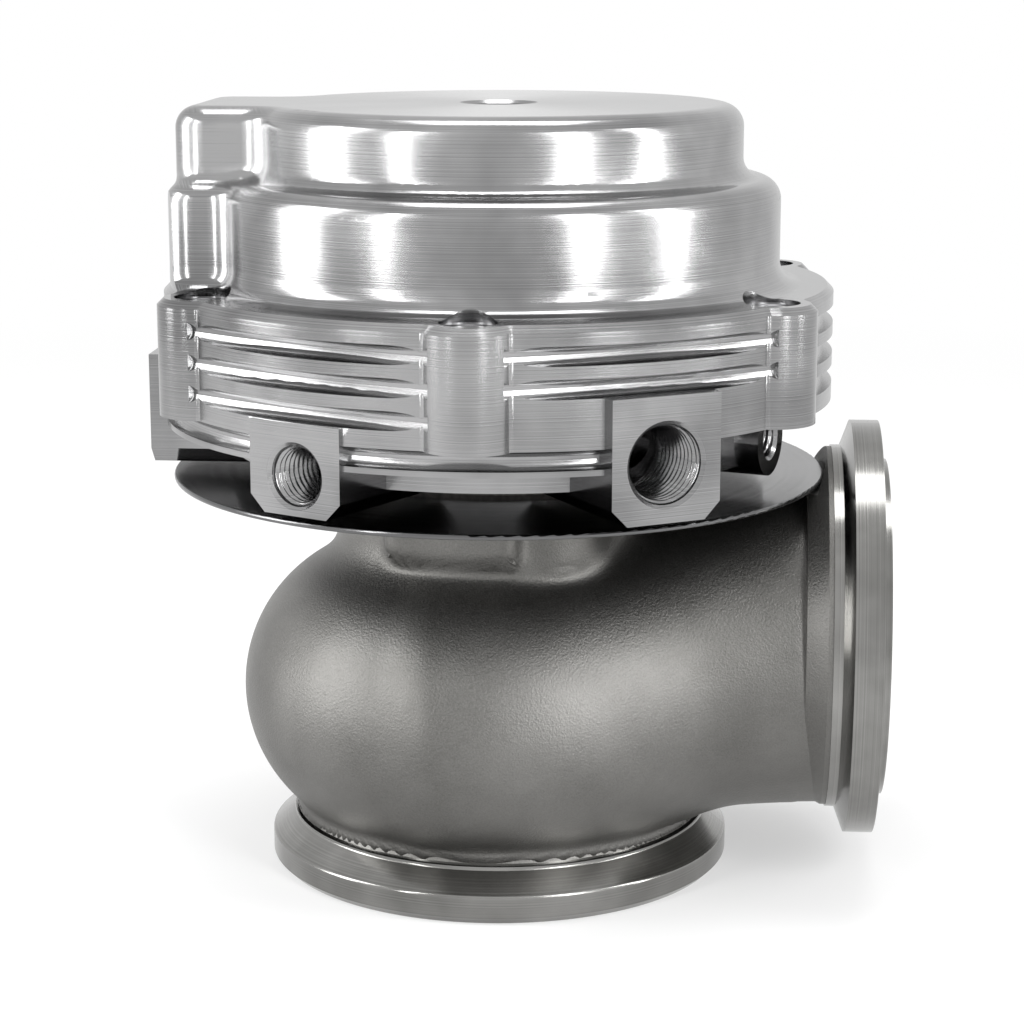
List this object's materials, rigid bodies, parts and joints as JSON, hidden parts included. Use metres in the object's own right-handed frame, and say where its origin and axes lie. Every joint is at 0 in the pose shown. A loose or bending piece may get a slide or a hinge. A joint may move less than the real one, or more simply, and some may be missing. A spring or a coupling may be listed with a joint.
{
  "type": "turbo wastegate",
  "caption": "External poppet wastegate: round inlet flange below, side outlet flange, heat shield, and a finned sprung diaphragm actuator with threaded air and water ports.",
  "frame": {"origin": "centre of the inlet flange's lower face, on the valve stem's axis", "axes": "+Z along the stem from the inlet to the cap, the way the valve opens; +X along the outlet; -Y is the side with the two front ports"},
  "size_m": [0.1017, 0.098, 0.1064],
  "materials": {
    "cast_stainless": "bead-blasted stainless casting",
    "turned_steel": "turned",
    "billet_aluminium": "machined bright",
    "shield_sheet": "polished sheet",
    "gasket": "pressed fibre",
    "bronze": "turned",
    "seal": "moulded",
    "screw_steel": "satin",
    "spring_steel": "shot-peened",
    "diaphragm_fabric": "coated cloth"
  },
  "bodies": {
    "root": {"valve_body": "cast_stainless", "inlet_flange": "turned_steel", "outlet_flange": "turned_steel", "valve_seat": "turned_steel", "valve_guide": "bronze", "heat_shield": "shield_sheet", "shield_gasket": "gasket", "actuator_base": "billet_aluminium", "base_screws": "screw_steel", "stem_seal": "seal", "stem_bushing": "bronze", "bushing_clip": "spring_steel", "actuator_cap": "billet_aluminium", "cap_screws": "screw_steel", "top_port_plug": "screw_steel", "diaphragm": "diaphragm_fabric", "outer_spring": "spring_steel", "inner_spring": "spring_steel"},
    "valve": {"poppet_valve": "turned_steel", "diaphragm_plate": "billet_aluminium", "spring_cup": "billet_aluminium", "stem_washer": "screw_steel", "stem_nut": "screw_steel"}
  },
  "joints": [
    {"name": "valve_lift", "type": "slide", "parent": "root", "child": "valve", "axis": [0, 0, 1], "range_m": [0, 0.011], "stiffness_N_per_m": 9000, "springref_m": -0.03, "deforming": ["outer_spring", "inner_spring", "diaphragm"]}
  ]
}
